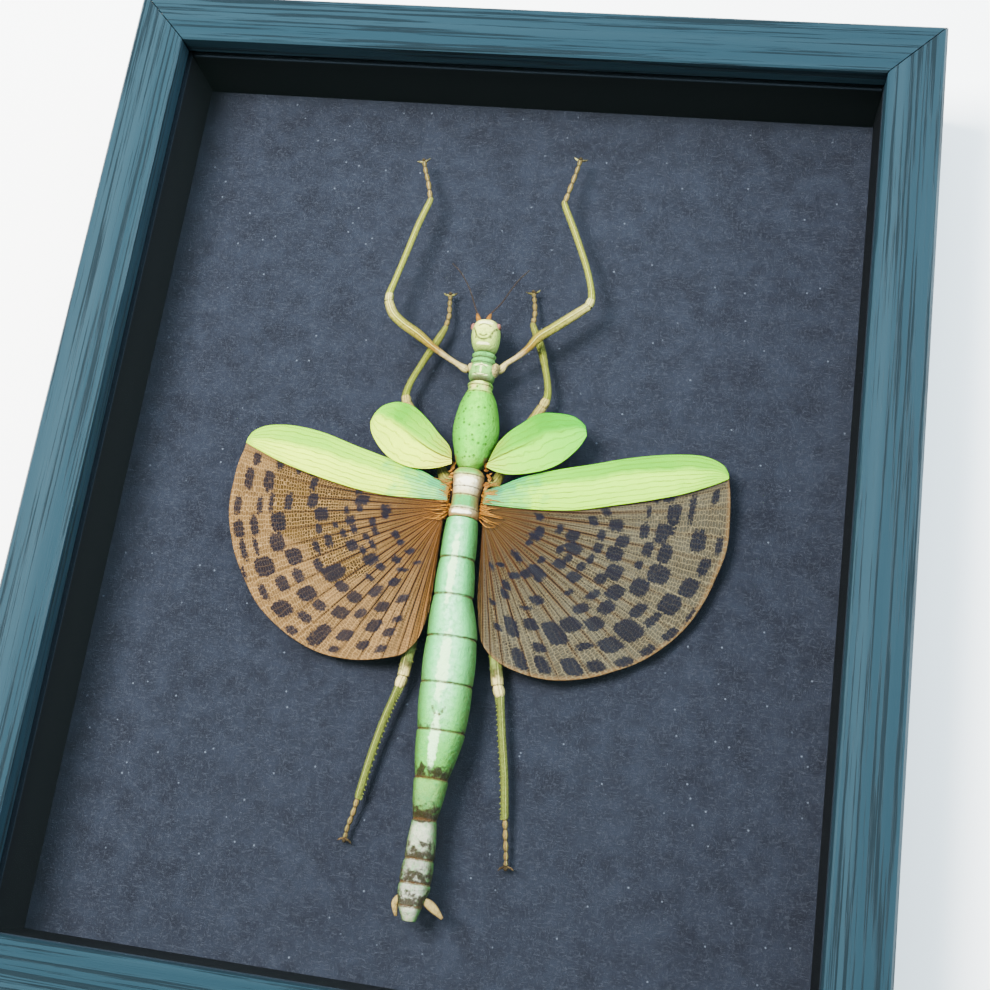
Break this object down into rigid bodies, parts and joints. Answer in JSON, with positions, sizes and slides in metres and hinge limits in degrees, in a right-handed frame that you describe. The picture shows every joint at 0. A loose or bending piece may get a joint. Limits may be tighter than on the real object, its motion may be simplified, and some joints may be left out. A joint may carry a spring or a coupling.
{
  "type": "framed stick insect specimen",
  "caption": "Deep black wooden box frame with a glazed front, holding a dried winged stick insect spread on a slate grey board.",
  "frame": {"origin": "middle of the rectangle that the box covers when it lies on its back, at the height of its back edge", "axes": "+X to the right, +Y along the insect's body towards its head, +Z out of the glass; the box lies on its back"},
  "size_m": [0.23, 0.28, 0.045],
  "materials": {
    "stained_wood": "black stained wood with fine lengthwise grain, satin",
    "clear_glass": "clear float glass",
    "black_liner": "matt black liner strip",
    "slate_paper": "slate grey fibre-flecked paper over board",
    "brown_board": "brown hardboard, matt",
    "plated_steel": "zinc plated steel, satin",
    "black_foam": "dense black foam",
    "pale_cuticle": "pale cream-green insect cuticle, mottled, satin",
    "neck_cuticle": "green insect cuticle with ring folds, satin",
    "thorax_cuticle": "bright green insect cuticle with fine pits, satin",
    "cream_cuticle": "cream insect cuticle, satin",
    "abdomen_cuticle": "mint green insect cuticle, satin, with brown joints and dark blotches",
    "leg_cuticle": "yellow-green insect cuticle with pale ridges, dull",
    "antenna_cuticle": "dark brown insect cuticle, dull",
    "leaf_wing": "leathery yellow-green fore wing with fine veins",
    "fan_wing": "green leathery front strip, and a thin tan-brown fan with dark spots and fine veins"
  },
  "bodies": {
    "root": {"frame_bar_right": "stained_wood", "frame_bar_top": "stained_wood", "frame_bar_left": "stained_wood", "frame_bar_bottom": "stained_wood", "glass_pane": "clear_glass", "mount_board": "slate_paper", "back_panel": "brown_board", "liner_left": "black_liner", "liner_right": "black_liner", "liner_top": "black_liner", "liner_bottom": "black_liner", "retaining_clip_left_upper": "plated_steel", "retaining_clip_left_lower": "plated_steel", "retaining_clip_right_upper": "plated_steel", "retaining_clip_right_lower": "plated_steel", "retaining_clip_bottom": "plated_steel", "retaining_clip_top": "plated_steel", "hanger": "plated_steel", "hanger_screw_left": "plated_steel", "hanger_screw_right": "plated_steel", "thorax_support": "black_foam", "abdomen_support": "black_foam", "head": "pale_cuticle", "prothorax": "neck_cuticle", "mesothorax": "thorax_cuticle", "metathorax": "cream_cuticle", "abdomen": "abdomen_cuticle", "antenna_left": "antenna_cuticle", "antenna_right": "antenna_cuticle", "front_leg_left": "leg_cuticle", "front_leg_right": "leg_cuticle", "middle_leg_left": "leg_cuticle", "middle_leg_right": "leg_cuticle", "hind_leg_left": "leg_cuticle", "hind_leg_right": "leg_cuticle", "tegmen_left": "leaf_wing", "tegmen_right": "leaf_wing", "hind_wing_left": "fan_wing", "hind_wing_right": "fan_wing"}
  },
  "joints": []
}
